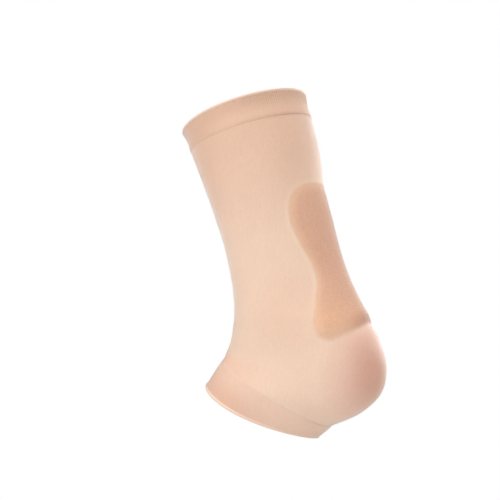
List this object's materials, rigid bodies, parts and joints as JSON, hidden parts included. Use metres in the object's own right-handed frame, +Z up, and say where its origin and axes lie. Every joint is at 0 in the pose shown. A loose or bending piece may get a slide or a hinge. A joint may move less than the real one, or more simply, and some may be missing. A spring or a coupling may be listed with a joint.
{
  "type": "ankle brace",
  "caption": "Knitted elastic ankle sleeve, open at calf and midfoot, with folded cuffs and an hourglass gel pad behind the Achilles tendon, for cushioning and light support.",
  "frame": {"origin": "centre of the ankle joint that the sleeve is worn on, midway between its sides", "axes": "+Z up as worn with the heel lifted, +X to the heel, -X to the toes, Y across, and the sleeve without its pad is symmetric about Y = 0"},
  "size_m": [0.1668, 0.0922, 0.2706],
  "materials": {
    "sleeve_knit": "fine elastic knit, beige, matt with a slight sheen",
    "cuff_knit": "folded double knit with fine ribs, beige, matt",
    "gel": "soft translucent gel, tan, satin"
  },
  "bodies": {
    "root": {"sleeve": "sleeve_knit", "calf_cuff": "cuff_knit", "foot_cuff": "cuff_knit", "gel_pad": "gel"}
  },
  "joints": []
}
